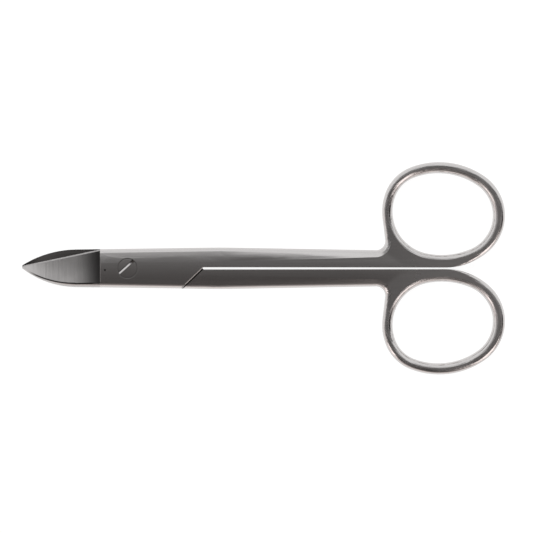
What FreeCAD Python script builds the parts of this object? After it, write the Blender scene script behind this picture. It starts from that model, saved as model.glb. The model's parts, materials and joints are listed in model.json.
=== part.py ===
import FreeCAD, Part
import math
import os

import Sketcher
from FreeCAD import Placement, Rotation, Vector

# Crown scissors: two forged halves with curved blades, a box of overlapping
# laps, long straight shanks and oval finger rings, held by one slotted screw.
# Frame: millimetres, origin on the screw's axis in the plane of the flat backs,
# +X towards the finger rings, +Y towards the front half's ring, +Z out of the
# face that shows the screw's head. Both halves are drawn in one frame of their
# own, with the mating plane at z = 0, the lap above it, the ring on +y and the
# blade's cutting edge on +y.

SIZES = {
    # Overall
    "thickness": 3.2,            # both laps together, and each shank and ring
    "shoulder": 6.0,             # screw axis to the shoulder where the blade begins
    "blade_length": 16.8,        # shoulder to tip, seen from above
    # Joint and shank, seen from above
    "joint_half": 4.17,          # half width at the shoulder
    "joint_flare": 0.8,          # degrees by which the joint widens towards the shank
    "swell_x": 20.0,             # where the shank is widest
    "swell_radius": 250.0,       # rounding of the shank's widest place
    "shank_taper": 1.0,          # degrees by which the shank narrows to the ring
    "corner_radius": 2.0,        # inside corner between shank and ring
    "neck_lean": 7.0,            # degrees that the ring's neck leans
    "gap_at_joint": 0.43,        # slit between the shanks beside the joint
    "gap_at_ring": 0.31,         # slit between the rings
    "lap_heel_x": 11.8,          # outer end of the lap's slanted edge
    "lap_toe_x": 16.5,           # end of the lap's slanted edge at the slit
    "lap_clearance": 0.15,       # between a lap's slanted edge and the other half
    "face_gap": 0.04,            # between the two laps' mating faces
    # Finger bore, drawn as five tangent arcs
    "ring_x": 71.62,             # centre of the bore's far arc
    "bow_lift": 0.975,           # its height over that of a bow resting on the slit
    "bore_right_radius": 7.94,
    "bore_top_radius": 14.92,
    "upper_back": 6.78,          # far arc's centre back to the upper arc's
    "upper_lift": 1.66,          # and across
    "bore_upper_radius": 6.99,
    "left_easing": 2.31,         # the arc towards the shank is larger than the upper one
    "left_turn": 20.76,          # degrees below +X from the upper arc's centre to its centre
    "bore_bottom_radius": 16.06,
    "ring_wall": 2.45,           # width of the ring's bow
    "ring_shift": 0.17,          # the bow is thicker at its far end
    "touch_back": 2.42,          # far arc's centre back to where the bow leaves the slit
    # Rounded edges
    "bow_flat": 0.08,            # left between the two rounds where the bow is thinnest
    "spine_round": 1.3,          # blade's spine and the lap's free side
    "slit_round": 0.12,          # edges along the slit
    # Faces rolled down to the outer side by the polishing belt
    "belt_radius": 14.0,
    "belt_inset": 3.3,           # the roll's width along the joint
    "belt_tilt": 4.0,            # degrees at which it begins there
    "belt_corner_inset": 1.6,    # its width where the shank meets the corner
    "belt_corner_tilt": 16.0,    # and its tilt there
    "belt_neck_inset": 1.3,      # its width at the ring's neck
    "belt_lift": 0.02,           # the belt comes in this far above the face
    "belt_margin": 0.02,         # and this far outside the side
    # Blade
    "blade_radius": 42.0,        # the blades curve up on this radius
    "tip_thickness": 1.4,        # of the blank before grinding
    "spine_start": 5.3,          # shoulder to the start of the spine's curve
    "edge_inset": 0.07,          # cutting edge at the shoulder, in from the joint's side
    "edge_tip_y": 0.25,          # cutting edge at the tip
    "tip_width": 0.6,            # spine to cutting edge at the tip
    "tip_set": 0.3,              # both tips point to the front half's side by this much
    # Grinding
    "hollow_radius": 50.0,       # the ground face, across the blade
    "edge_thickness": 0.38,      # left behind the honed edge
    "shoulder_thickness": 0.9,   # at the shoulder, cutting edge side
    "runout": 4.4,               # length of the wheel's run-out at the shoulder
    "land": 0.87,                # round of the spine left unground
    "tip_land": 0.15,            # what is left of it at the tip
    "hone_width": 0.26,
    "inner_radius": 44.0,        # hollow of the inner face
    "inner_land": 0.75,          # flat left along the spine inside
    "inner_edge": 0.14,          # flat left along the cutting edge inside
    "inner_start": 1.2,          # shoulder to the start of the inner hollow
    "inner_end": 2.2,            # end of the inner hollow to the tip
    # Pivot screw
    "head_diameter": 4.2,
    "head_height": 1.0,
    "bearing_diameter": 2.8,
    "thread_diameter": 2.0,
    "screw_clearance": 0.03,     # around the head and the bearing
    "tail_lead": 0.2,            # chamfer at the thread's end, flush with the back
    "slot_width": 0.63,
    "slot_depth": 0.6,
    "slot_offset": 0.37,
    "slot_angle": 41.9,          # degrees
}

SHEET = "Sizes"
STATIONS_IN_RUNOUT = 3
STATIONS_IN_BLADE = 5
STATIONS_INSIDE = 4
STEPS_AT_CORNER = 3
NECK_LIFTS = 4                   # the belt leaves the neck this many times its lift above it


def make_sheet(doc):
    """Writes each driving dimension to a cell whose alias is its name."""
    sheet = doc.addObject("Spreadsheet::Sheet", SHEET)
    for row, (name, value) in enumerate(SIZES.items(), start=1):
        sheet.set("A%d" % row, name)
        sheet.set("B%d" % row, str(value))
        sheet.setAlias("B%d" % row, name)
    doc.recompute()
    return sheet


def cells(text):
    """Turns {name} in an expression into the sheet's cell of that name."""
    return text.format(**{name: SHEET + "." + name for name in SIZES})


def value(sheet, text):
    """The number that an expression of cells gives."""
    result = sheet.evalExpression(cells(text))
    return float(getattr(result, "Value", result))


class Drawing:
    """A sketch on one of the body's planes, with its sizes tied to the cells."""

    def __init__(self, body, sheet, name, plane, offset=None, turn=None):
        self.sheet = sheet
        self.sketch = body.newObject("Sketcher::SketchObject", name)
        planes = {f.Role: f for f in body.Origin.OriginFeatures}
        self.sketch.AttachmentSupport = [(planes[plane], "")]
        self.sketch.MapMode = "FlatFace"
        if offset is not None:
            self.sketch.setExpression("AttachmentOffset.Base.z", cells(offset))
        if turn is not None:
            base = self.sketch.AttachmentOffset.Base
            self.sketch.AttachmentOffset = Placement(base, Rotation(Vector(0, 1, 0), 1))
            self.sketch.setExpression("AttachmentOffset.Rotation.Angle", "(%s) * 1deg" % cells(turn))

    def number(self, text):
        return value(self.sheet, text)

    def point(self, x, y):
        return Vector(self.number(x), self.number(y), 0)

    def tie(self, constraint, text, unit=""):
        """Adds a constraint and binds its size to an expression."""
        index = self.sketch.addConstraint(constraint)
        self.sketch.setExpression("Constraints[%d]" % index, "(%s)%s" % (cells(text), unit))

    def pin(self, geometry, end, x=None, y=None):
        """Fixes one point of a line or arc; end 3 is an arc's centre."""
        if x is not None:
            self.tie(Sketcher.Constraint("DistanceX", geometry, end, self.number(x)), x)
        if y is not None:
            self.tie(Sketcher.Constraint("DistanceY", geometry, end, self.number(y)), y)

    def line(self, start, end):
        return self.sketch.addGeometry(Part.LineSegment(start, end), False), 1, 2

    def arc(self, centre, radius, start, end, clockwise=False):
        """An arc from one angle to another, in radians."""
        circle = Part.Circle(centre, Vector(0, 0, 1), radius)
        if clockwise:
            return self.sketch.addGeometry(Part.ArcOfCircle(circle, end, start), False), 2, 1
        return self.sketch.addGeometry(Part.ArcOfCircle(circle, start, end), False), 1, 2

    def radius(self, geometry, text):
        self.tie(Sketcher.Constraint("Radius", geometry, self.number(text)), text)

    def join(self, pieces, sharp=()):
        """Joins a closed run of pieces, tangent but where the joint is sharp."""
        for i, (geometry, _, last) in enumerate(pieces):
            following, first, _ = pieces[(i + 1) % len(pieces)]
            kind = "Coincident" if i in sharp else "Tangent"
            self.sketch.addConstraint(Sketcher.Constraint(kind, geometry, last, following, first))

    def polygon(self, corners):
        """A closed polygon with every corner pinned to a pair of expressions."""
        points = [self.point(x, y) for x, y in corners]
        pieces = [self.line(p, q) for p, q in zip(points, points[1:] + points[:1])]
        self.join(pieces, sharp=range(len(pieces)))
        for (geometry, first, _), (x, y) in zip(pieces, corners):
            self.pin(geometry, first, x, y)
        return pieces

    def circle(self, radius):
        """A circle about the origin."""
        circle = Part.Circle(Vector(0, 0, 0), Vector(0, 0, 1), self.number(radius))
        geometry = self.sketch.addGeometry(circle, False)
        self.sketch.addConstraint(Sketcher.Constraint("Coincident", geometry, 3, -1, 1))
        self.radius(geometry, radius)

    def spot(self, geometry, share, height):
        """A point part of the way along a piece, lifted to a height."""
        curve = self.sketch.Geometry[geometry]
        first, last = curve.FirstParameter, curve.LastParameter
        place = curve.value(first + share * (last - first))
        return Vector(place.x, place.y, height)


def bearing(start, end):
    return math.atan2(end.y - start.y, end.x - start.x)


def polar(angle, radius=1.0):
    return Vector(radius * math.cos(angle), radius * math.sin(angle), 0)


def holding_centre(first, first_radius, second, second_radius, radius):
    """Centre of the arc that touches two circles from outside, to the left of
    the way from the first to the second."""
    to_first = radius - first_radius
    to_second = radius - second_radius
    way = second - first
    apart = way.Length
    along = (to_first ** 2 - to_second ** 2 + apart ** 2) / (2 * apart)
    aside = math.sqrt(to_first ** 2 - along ** 2)
    way.normalize()
    return first + way * along + Vector(-way.y, way.x, 0) * aside


def crossing(point, way, other, other_way):
    """Where two lines meet."""
    gap = other - point
    share = (gap.x * other_way.y - gap.y * other_way.x) / (way.x * other_way.y - way.y * other_way.x)
    return point + way * share


RIGHT_Y = "({gap_at_ring} / 2 + {ring_wall} + {bore_right_radius} + {bow_lift})"


def ring_circles(sheet, wall, shift):
    """The three circles that shape a finger ring, as pairs of centre and radius."""
    grow = value(sheet, wall)
    right = Vector(value(sheet, "{ring_x}+" + shift), value(sheet, RIGHT_Y), 0)
    upper = right + Vector(-value(sheet, "{upper_back}"), value(sheet, "{upper_lift}"), 0)
    left = upper + polar(-math.radians(value(sheet, "{left_turn}")), value(sheet, "{left_easing}"))
    return ((right, value(sheet, "{bore_right_radius}") + grow),
            (upper, value(sheet, "{bore_upper_radius}") + grow),
            (left, value(sheet, "{bore_upper_radius}+{left_easing}") + grow))


def tie_ring(drawing, right, top, upper, left, wall, shift):
    """The constraints that the finger bore and the ring's outside share."""
    drawing.pin(right, 3, "{ring_x}+" + shift, RIGHT_Y)
    drawing.radius(right, "{bore_right_radius}+" + wall)
    drawing.radius(top, "{bore_top_radius}+" + wall)
    drawing.pin(upper, 3, "{ring_x}-{upper_back}+" + shift, RIGHT_Y + "+{upper_lift}")
    drawing.radius(upper, "{bore_upper_radius}+" + wall)
    drawing.pin(left, 3, "{ring_x}-{upper_back}+{left_easing}*cos({left_turn}*1deg)+" + shift)
    drawing.radius(left, "{bore_upper_radius}+{left_easing}+" + wall)


def draw_bore(body, sheet):
    """The finger bore: five tangent arcs, fuller towards the shank."""
    drawing = Drawing(body, sheet, "FingerBore", "XY_Plane")
    (right, rr), (upper, ru), (left, rl) = ring_circles(sheet, "0", "0")
    rt = value(sheet, "{bore_top_radius}")
    rb = value(sheet, "{bore_bottom_radius}")
    top = holding_centre(right, rr, upper, ru, rt)
    bottom = holding_centre(left, rl, right, rr, rb)
    turns = [bearing(bottom, right), bearing(top, right), bearing(top, upper),
             bearing(left, upper), bearing(bottom, left) + 2 * math.pi]
    pieces = [drawing.arc(right, rr, turns[0], turns[1]),
              drawing.arc(top, rt, turns[1], turns[2]),
              drawing.arc(upper, ru, turns[2], turns[3]),
              drawing.arc(left, rl, turns[3], turns[4]),
              drawing.arc(bottom, rb, turns[4], turns[0] + 2 * math.pi)]
    drawing.join(pieces)
    tie_ring(drawing, pieces[0][0], pieces[1][0], pieces[2][0], pieces[3][0], "0", "0")
    drawing.radius(pieces[4][0], "{bore_bottom_radius}")
    return drawing


LAP_HEEL_Y = "({joint_half} + ({lap_heel_x} + {shoulder}) * tan({joint_flare} * 1deg))"
TOUCH_X = "({ring_x} - {touch_back})"


def draw_outline(body, sheet):
    """Lap, shank and ring of one half seen from above, counter-clockwise from
    the shoulder's corner on the free side."""
    drawing = Drawing(body, sheet, "Outline", "XY_Plane")
    wall, shift = "{ring_wall}", "{ring_shift}"
    (right, rr), (upper, ru), (left, rl) = ring_circles(sheet, wall, shift)
    rt = value(sheet, "{bore_top_radius}+{ring_wall}")
    top = holding_centre(right, rr, upper, ru, rt)
    # The bow's lower arc touches the slit and the far circle.
    touch = drawing.point(TOUCH_X, "{gap_at_ring}/2")
    rise = right.y - touch.y
    rb = ((right.x - touch.x) ** 2 + rise ** 2 - rr ** 2) / (2 * (rise - rr))
    bottom = touch + Vector(0, rb, 0)
    # The joint's side, the swell and the shank's side.
    flare, taper, lean = (math.radians(drawing.number(name)) for name in
                          ("{joint_flare}", "{shank_taper}", "{neck_lean}"))
    shoulder = drawing.point("-{shoulder}", "{joint_half}")
    swell_x, rs = drawing.number("{swell_x}"), drawing.number("{swell_radius}")
    swell_y = shoulder.y + (swell_x - shoulder.x) * math.tan(flare) - rs / math.cos(flare)
    swell = Vector(swell_x, swell_y, 0)
    joint_end = swell + polar(math.pi / 2 + flare, rs)
    shank_end = swell + polar(math.pi / 2 - taper, rs)
    # The inside corner between the shank and the ring's neck.
    rc = drawing.number("{corner_radius}")
    neck = left + polar(math.pi + lean, rl)
    corner = crossing(neck + polar(math.pi + lean, rc), Vector(math.sin(lean), -math.cos(lean), 0),
                      shank_end + polar(math.pi / 2 - taper, rc), polar(-taper))
    free = drawing.point("-{shoulder}", "-{joint_half}")
    heel = drawing.point("{lap_heel_x}", "-" + LAP_HEEL_Y)
    toe = drawing.point("{lap_toe_x}", "{gap_at_joint}/2")
    pieces = [drawing.line(free, heel),
              drawing.line(heel, toe),
              drawing.line(toe, touch),
              drawing.arc(bottom, rb, -math.pi / 2, bearing(bottom, right)),
              drawing.arc(right, rr, bearing(bottom, right), bearing(top, right)),
              drawing.arc(top, rt, bearing(top, right), bearing(top, upper)),
              drawing.arc(upper, ru, bearing(top, upper), bearing(left, upper)),
              drawing.arc(left, rl, bearing(left, upper), math.pi + lean),
              drawing.line(neck, corner + polar(lean, rc)),
              drawing.arc(corner, rc, lean, -math.pi / 2 - taper, clockwise=True),
              drawing.line(corner + polar(-math.pi / 2 - taper, rc), shank_end),
              drawing.arc(swell, rs, math.pi / 2 - taper, math.pi / 2 + flare),
              drawing.line(joint_end, shoulder),
              drawing.line(shoulder, free)]
    drawing.join(pieces, sharp=(0, 1, 12, 13))
    drawing.pin(0, 1, "-{shoulder}", "-{joint_half}")
    drawing.pin(1, 1, "{lap_heel_x}", "-" + LAP_HEEL_Y)
    drawing.pin(2, 1, "{lap_toe_x}", "{gap_at_joint}/2")
    drawing.pin(2, 2, TOUCH_X, "{gap_at_ring}/2")
    drawing.pin(13, 1, "-{shoulder}", "{joint_half}")
    tie_ring(drawing, 4, 5, 6, 7, wall, shift)
    drawing.tie(Sketcher.Constraint("Angle", 8, lean - math.pi / 2), "{neck_lean} - 90", " * 1deg")
    drawing.radius(9, "{corner_radius}")
    drawing.tie(Sketcher.Constraint("Angle", 10, math.pi - taper), "180 - {shank_taper}", " * 1deg")
    drawing.radius(11, "{swell_radius}")
    drawing.pin(11, 3, "{swell_x}")
    drawing.tie(Sketcher.Constraint("Angle", 12, flare - math.pi), "{joint_flare} - 180", " * 1deg")
    return drawing


BLANK_END = "({shoulder} + {blade_length})"
SPINE_START_Y = "({joint_half} - {spine_start} * tan({joint_flare} * 1deg))"
SPINE_RUN = "({blade_length} - {spine_start})"


def tip_y(side):
    """The cutting edge at the tip."""
    return "({edge_tip_y} %s {tip_set})" % side


def spine_radius(side):
    """Radius of the spine, which leaves the joint's side tangentially and ends at the tip."""
    rise = "(" + SPINE_START_Y + " + " + tip_y(side) + " - {tip_width})"
    return ("((%s^2 + %s^2) / (2 * (%s * cos({joint_flare} * 1deg) - %s * sin({joint_flare} * 1deg))))"
            % (SPINE_RUN, rise, rise, SPINE_RUN))


def draw_planform(body, sheet, side):
    """The blade's blank seen from above: curved spine, blunt nose and a straight
    side just outside the cutting edge, with a root inside the joint."""
    drawing = Drawing(body, sheet, "BladePlanform", "XY_Plane")
    flare, rs = math.radians(drawing.number("{joint_flare}")), drawing.number(spine_radius(side))
    start = drawing.point("-{shoulder} - {spine_start}", "-" + SPINE_START_Y)
    centre = start + polar(math.pi / 2 - flare, rs)
    nose_x = drawing.number("-" + BLANK_END)
    nose = Vector(nose_x, centre.y - math.sqrt(rs ** 2 - (centre.x - nose_x) ** 2), 0)
    root_x = "-{shoulder} + {thickness} / 2"
    corners = [(root_x, "-{joint_half} - {thickness} / 2 * tan({joint_flare} * 1deg)"),
               (root_x, "{joint_half}"),
               ("-{shoulder}", "{joint_half}"),
               ("-" + BLANK_END, tip_y(side) + " + {hone_width}")]
    points = [start] + [drawing.point(x, y) for x, y in corners] + [nose]
    pieces = [drawing.line(p, q) for p, q in zip(points, points[1:])]
    pieces.append(drawing.arc(centre, rs, bearing(centre, nose), -math.pi / 2 - flare))
    drawing.join(pieces, sharp=range(len(pieces) - 1))
    drawing.pin(0, 1, "-{shoulder} - {spine_start}", "-" + SPINE_START_Y)
    for geometry, (x, y) in enumerate(corners, start=1):
        drawing.pin(geometry, 1, x, y)
    drawing.pin(len(pieces) - 1, 1, "-" + BLANK_END)
    drawing.radius(len(pieces) - 1, spine_radius(side))
    return drawing


def inner_z(side, along):
    """Height of the blade's inner face at a distance beyond the shoulder."""
    return "({face_gap} / 2 %s ({blade_radius} - sqrt({blade_radius}^2 - (%s)^2)))" % (side, along)


def outer_radius(side):
    """Radius of the blank's outer face, so that it thins towards the tip."""
    rise = ("({blade_radius} - sqrt({blade_radius}^2 - {blade_length}^2)"
            " %s ({tip_thickness} - {thickness} / 2 + {face_gap} / 2))" % side)
    return "(({blade_length}^2 + %s^2) / (2 * %s))" % (rise, rise)


def outer_z(side, along):
    """Height of the blank's outer face at a distance beyond the shoulder."""
    return ("({thickness} / 2 %s (%s - sqrt(%s^2 - (%s)^2)))"
            % (side, outer_radius(side), outer_radius(side), along))


def draw_side(body, sheet, side):
    """What is cut away above and below the blade, seen from the side. The front
    blade curves up out of the mating plane, the rear one down."""
    drawing = Drawing(body, sheet, "BladeSide", "XZ_Plane")
    reach = "({thickness} + {blade_length})"
    root_x, end_x = "-{shoulder} + {thickness}", "-" + BLANK_END + " - {thickness}"
    faces = (("{face_gap} / 2", "{blade_radius}", "-" + reach),
             ("{thickness} / 2", outer_radius(side), reach))
    for height, radius, far in faces:
        number = drawing.number(radius)
        start = drawing.point("-{shoulder}", height)
        up = 1 if side == "+" else -1
        centre = start + Vector(0, up * number, 0)
        turn = math.asin((start.x - drawing.number(end_x)) / number)
        end = start + Vector(-number * math.sin(turn), up * number * (1 - math.cos(turn)), 0)
        root = drawing.point(root_x, height)
        far_root, far_end = drawing.point(root_x, far), drawing.point(end_x, far)
        pieces = [drawing.line(root, start),
                  drawing.arc(centre, number, -up * math.pi / 2, -up * (math.pi / 2 + turn),
                              clockwise=up > 0),
                  drawing.line(end, far_end),
                  drawing.line(far_end, far_root),
                  drawing.line(far_root, root)]
        drawing.join(pieces, sharp=(1, 2, 3, 4))
        drawing.pin(pieces[0][0], 1, root_x, height)
        drawing.pin(pieces[0][0], 2, "-{shoulder}", height)
        drawing.radius(pieces[1][0], radius)
        drawing.pin(pieces[2][0], 1, end_x)
        drawing.pin(pieces[3][0], 1, end_x, far)
        drawing.pin(pieces[4][0], 1, root_x, far)
    return drawing


def edge_y(side, along):
    """The cutting edge, seen from above."""
    root = "({joint_half} - {edge_inset})"
    return "(%s - (%s) / {blade_length} * (%s - %s))" % (root, along, root, tip_y(side))


def spine_y(sheet, side, along):
    """The back of the blade, seen from above."""
    if value(sheet, along) <= value(sheet, "{spine_start}"):
        return "(0 - {joint_half} + (%s) * tan({joint_flare} * 1deg))" % along
    radius = spine_radius(side)
    bend = "(%s - {spine_start} + %s * sin({joint_flare} * 1deg))" % (along, radius)
    return ("(0 - " + SPINE_START_Y + " + %s * cos({joint_flare} * 1deg) - sqrt(%s^2 - %s^2))"
            % (radius, radius, bend))


def draw_hollow(body, sheet, side, name, along):
    """One section of the wheel's cut: the hollow face, the honed edge and the
    room above them. The land along the spine is left."""
    drawing = Drawing(body, sheet, name, "YZ_Plane", offset="-{shoulder} - (%s)" % along)
    land = ("({tip_land} + ({land} - {tip_land})"
            " * (1 - ((%s) / ({blade_length} + {tip_land}))^2))" % along)
    fallen = "max({spine_round} - %s; 0)" % land
    drop = "({spine_round} - sqrt({spine_round}^2 - (%s)^2))" % fallen
    behind = "{edge_thickness}"
    if value(sheet, along) < value(sheet, "{runout}"):
        behind += " + ({shoulder_thickness} - {edge_thickness}) * (1 - (%s) / {runout})^2" % along
    foot, top = inner_z(side, along), inner_z(side, along) + " + {thickness} + {spine_round}"
    spine, edge = spine_y(sheet, side, along), edge_y(side, along)
    hone = "min({hone_width}; (%s - %s - %s) / 2)" % (edge, spine, land)
    corners = [(spine + " + " + land, outer_z(side, along) + " - " + drop),
               (edge + " - " + hone, foot + " + " + behind),
               (edge + " + 2 * " + hone, foot + " - 2 * (" + behind + ")"),
               (edge + " + 2 * " + hone, top),
               (spine + " + " + land + " - {edge_thickness}", top)]
    ground_section(drawing, corners, "{hollow_radius}")
    return drawing


def draw_inner(body, sheet, side, name, along):
    """One section of the shallow hollow of the inner face."""
    drawing = Drawing(body, sheet, name, "YZ_Plane", offset="-{shoulder} - (%s)" % along)
    near = edge_y(side, along) + " - {inner_edge}"
    back = spine_y(sheet, side, along) + " + {inner_land}"
    foot = inner_z(side, along)
    below = foot + " - {inner_land}"
    ground_section(drawing, [(near, foot), (back, foot), (back, below), (near, below)], "{inner_radius}")
    return drawing


def ground_section(drawing, corners, radius):
    """A closed section whose first side is an arc and whose others are lines."""
    points = [drawing.point(x, y) for x, y in corners]
    number = drawing.number(radius)
    half = (points[1] - points[0]) * 0.5
    aside = math.sqrt(number ** 2 - half.Length ** 2)
    centre = points[0] + half + Vector(-half.y, half.x, 0).normalize() * aside
    start, end = bearing(centre, points[0]), bearing(centre, points[1])
    pieces = [drawing.arc(centre, number, start, end)]
    pieces += [drawing.line(p, q) for p, q in zip(points[1:], points[2:] + points[:1])]
    drawing.join(pieces, sharp=range(len(pieces)))
    for (geometry, first, _), (x, y) in zip(pieces, corners):
        drawing.pin(geometry, first, x, y)
    drawing.radius(0, radius)


def draw_recess(body, sheet):
    """The room for the other half's lap, below the mating plane, up to the
    slanted edge that mirrors this half's own lap."""
    drawing = Drawing(body, sheet, "LapRecess", "XY_Plane", offset="{face_gap} / 2")
    run = "({lap_toe_x} - {lap_heel_x})"
    fall = "(" + LAP_HEEL_Y + " + {gap_at_joint} / 2)"
    off = "{lap_clearance} * sqrt(1 + (" + run + " / " + fall + ")^2)"
    wide = "{thickness} * 2"
    far_x = "{lap_toe_x} + " + off + " - (%s{gap_at_joint} / 2) * " + run + " / " + fall
    drawing.polygon([("-{shoulder}", "-" + wide),
                     (far_x % ("-" + wide + " + "), "-" + wide),
                     (far_x % (wide + " + "), wide),
                     ("-{shoulder}", wide)])
    return drawing


def extrude(body, kind, drawing, length, both=False, reverse=False):
    """A pad or pocket of a sketch, its length tied to an expression."""
    feature = body.newObject("PartDesign::" + kind, kind + drawing.sketch.Name)
    feature.Profile = drawing.sketch
    feature.Reversed = reverse
    feature.Midplane = both
    feature.setExpression("Length", cells(length))
    drawing.sketch.Visibility = False
    body.Document.recompute()
    return feature


def nearest_edge(shape, place):
    """Number of the edge that passes through a place."""
    probe = Part.Vertex(place)
    gaps = [edge.distToShape(probe)[0] for edge in shape.Edges]
    return gaps.index(min(gaps)) + 1


def round_spine(body, sheet, side, outline):
    """Rounds the back of the blade and the lap's free side, which it runs into."""
    before = body.Tip
    places = [outline.spot(0, 0.5, value(sheet, "{thickness} / 2"))]
    for along in ("{spine_start} / 2", "({spine_start} + {blade_length}) / 2"):
        places.append(Vector(value(sheet, "-{shoulder} - (%s)" % along),
                             value(sheet, spine_y(sheet, side, along)),
                             value(sheet, outer_z(side, along))))
    feature = body.newObject("PartDesign::Fillet", "SpineRound")
    feature.Base = (before, ["Edge%d" % nearest_edge(before.Shape, place) for place in places])
    feature.setExpression("Radius", cells("{spine_round}"))
    body.Document.recompute()


def skin(body, kind, name, sections, ruled=False):
    """Adds or cuts away what lies between a run of sections, skinned smoothly or
    straight from each section to the next."""
    feature = body.newObject("PartDesign::%sLoft" % kind, name)
    feature.Profile = sections[0].sketch
    feature.Sections = [section.sketch for section in sections[1:]]
    feature.Ruled = ruled
    for section in sections:
        section.sketch.Visibility = False
    body.Document.recompute()


def grind_stations():
    """Distances beyond the shoulder, closer together in the wheel's run-out."""
    run = ["{runout} * %d / %d" % (i, STATIONS_IN_RUNOUT) for i in range(STATIONS_IN_RUNOUT)]
    rest = ["{runout} + ({blade_length} + {tip_land} - {runout}) * %d / %d" % (i, STATIONS_IN_BLADE)
            for i in range(STATIONS_IN_BLADE + 1)]
    return run + rest


def inner_stations():
    """Distances beyond the shoulder, over the length of the inner hollow."""
    return ["{inner_start} + ({blade_length} - {inner_end} - {inner_start}) * %d / %d" % (i, STATIONS_INSIDE)
            for i in range(STATIONS_INSIDE + 1)]


def drill(body, sheet, name, radius, offset=None, depth=None):
    """A round hole about the pivot axis, right through or to a depth."""
    drawing = Drawing(body, sheet, name, "XY_Plane", offset)
    drawing.circle(radius)
    through = depth is None
    extrude(body, "Pocket", drawing, "2 * {thickness}" if through else depth, both=through)


BOW_ROUND = "(({ring_wall} - {ring_shift} - {bow_flat}) / 2)"


def round_bow(doc, sheet, label, body, outline, bore):
    """Rounds both faces' edges along the joint, shank and ring and around the
    finger bore. Beside the slit the rounding dies away to a broken edge."""
    shape, half = body.Shape, value(sheet, "{thickness} / 2")
    full, broken = value(sheet, BOW_ROUND), value(sheet, "{slit_round}")
    edges = []
    for height in (half, -half):
        # The joint's side is whole on both faces only near the shank.
        edges.append((nearest_edge(shape, outline.spot(12, 0.1, height)), full, full))
        for piece in range(4, 12):
            edges.append((nearest_edge(shape, outline.spot(piece, 0.5, height)), full, full))
        edges.append((nearest_edge(shape, outline.spot(3, 0.5, height)), broken, full))
        edges.append((nearest_edge(shape, bore.spot(0, 0.5, height)), full, full))
    feature = doc.addObject("Part::Fillet", label + "_rounded")
    feature.Base = body
    feature.Edges = edges
    doc.recompute()
    return feature


def belt_section(body, sheet, face, name, origin, turn, side, inset, tilt, lift):
    """One section of what the polishing belt takes off: a wide arc that begins at a
    tilt, runs over into the round of the outer side, and the room above. face is +
    for the lap's face and - for the other. origin is the section's place in X and Y
    and turn its bearing in degrees; side is where the half's side lies in it."""
    drawing = Drawing(body, sheet, name, "YZ_Plane", turn=turn)
    drawing.sketch.AttachmentOffset.Base = Vector(origin.y, 0, origin.x)
    start = "(%s - %s)" % (side, inset)
    wide_u = "(%s - {belt_radius} * sin(%s * 1deg))" % (start, tilt)
    wide_v = "({thickness} / 2 + %s - {belt_radius} * cos(%s * 1deg))" % (lift, tilt)
    round_u = "(%s + {belt_margin} - %s)" % (side, BOW_ROUND)
    round_v = "(%s + sqrt(({belt_radius} - %s)^2 - (%s - %s)^2))" % (wide_v, BOW_ROUND, round_u, wide_u)
    clear_u, clear_v = "(%s + {corner_radius} / 2)" % side, "(0 %s {thickness})" % face
    wide_v, round_v = ["(0 %s %s)" % (face, height) for height in (wide_v, round_v)]
    wide, small = drawing.point(wide_u, wide_v), drawing.point(round_u, round_v)
    wide_radius, small_radius = drawing.number("{belt_radius}"), drawing.number(BOW_ROUND)
    over, up = bearing(wide, small), 1 if face == "+" else -1
    first = up * math.acos((drawing.number(start) - wide.x) / wide_radius)
    points = [wide + polar(first, wide_radius), drawing.point(start, clear_v),
              drawing.point(clear_u, clear_v), drawing.point(clear_u, round_v),
              small + Vector(small_radius, 0, 0)]
    pieces = [drawing.arc(small, small_radius, 0, over, clockwise=up < 0),
              drawing.arc(wide, wide_radius, over, first, clockwise=up < 0)]
    pieces += [drawing.line(p, q) for p, q in zip(points, points[1:])]
    drawing.join(pieces, sharp=(1, 2, 3, 4, 5))
    drawing.pin(0, 3, round_u)
    drawing.radius(0, BOW_ROUND)
    drawing.pin(1, 3, wide_u, wide_v)
    drawing.radius(1, "{belt_radius}")
    drawing.pin(2, 1, start)
    drawing.pin(3, 1, start, clear_v)
    drawing.pin(4, 1, clear_u, clear_v)
    drawing.pin(5, 1, clear_u, round_v)
    drawing.pin(5, 2, y=round_v)
    return drawing


# The shank's side at the swell, where its two tangents meet.
SWELL_Y = "({joint_half} + ({swell_x} + {shoulder}) * tan({joint_flare} * 1deg))"


def belt(doc, sheet, label, face, outline):
    """What the belt takes off one face: over the shoulder, along the joint and the
    shank, round the corner and off again up the ring's neck."""
    body = doc.addObject("PartDesign::Body", "%s_%s_belt" % (label, "lap" if face == "+" else "shank"))
    corner, neck = outline.sketch.Geometry[9].Center, outline.sketch.Geometry[8]
    up_neck = corner + (neck.StartPoint - neck.EndPoint)
    shoulder = outline.point("-{shoulder} - {edge_thickness}", "0")
    swell = outline.point("{swell_x}", "0")
    arc_side = "(0 - {corner_radius})"
    along = [(shoulder, "0", "({joint_half} - {edge_thickness} * tan({joint_flare} * 1deg))",
              "{belt_inset}", "{belt_tilt}", "{belt_lift}"),
             (swell, "0", SWELL_Y, "{belt_inset}", "{belt_tilt}", "{belt_lift}")]
    around = []
    for i in range(STEPS_AT_CORNER + 1):
        share = "%d / %d" % (i, STEPS_AT_CORNER)
        around.append((corner, "(90 + {neck_lean} + {shank_taper}) * %s - {shank_taper}" % share, arc_side,
                       "({belt_corner_inset} + ({belt_neck_inset} - {belt_corner_inset}) * %s)" % share,
                       "({belt_corner_tilt} * (1 - %s / 2))" % share, "{belt_lift}"))
    around.append((up_neck, "90 + {neck_lean}", arc_side, "{belt_neck_inset}", "{belt_tilt}",
                   "({belt_lift} * %d)" % NECK_LIFTS))
    drawn = [belt_section(body, sheet, face, "Belt%d" % i, *station)
             for i, station in enumerate(along + around)]
    skin(body, "Additive", "AlongShank", drawn[:len(along) + 1], ruled=True)
    skin(body, "Additive", "RoundCorner", drawn[len(along):])
    return body


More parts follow.
